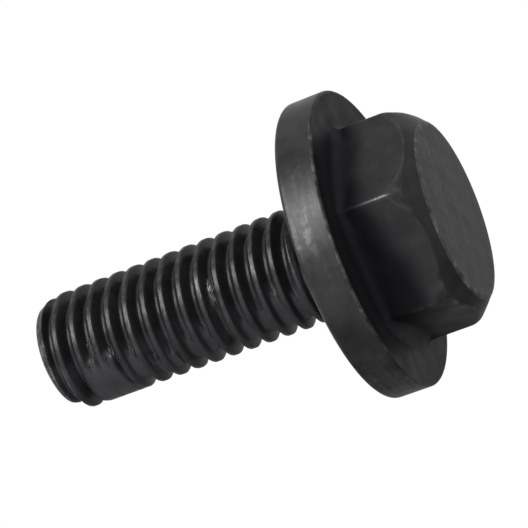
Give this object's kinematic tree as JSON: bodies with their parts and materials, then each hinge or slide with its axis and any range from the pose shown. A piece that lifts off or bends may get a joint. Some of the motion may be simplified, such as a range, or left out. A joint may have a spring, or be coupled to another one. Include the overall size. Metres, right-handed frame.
{
  "type": "flange bolt",
  "caption": "Hexagon head bolt with a thick round flange under the head and a short fully threaded metric shank, dark finish.",
  "frame": {"origin": "centre of the head's flat top, on the surface that the bolt stands on", "axes": "+Z along the shank from the head top to the tip; two corners of the hexagon lie on the X axis"},
  "size_m": [0.0152, 0.0152, 0.022],
  "materials": {
    "black_oxide_steel": "black oxide steel, oiled, semi-gloss on the rolled thread and satin on the forged head"
  },
  "bodies": {
    "root": {"flange_bolt": "black_oxide_steel"}
  },
  "joints": []
}
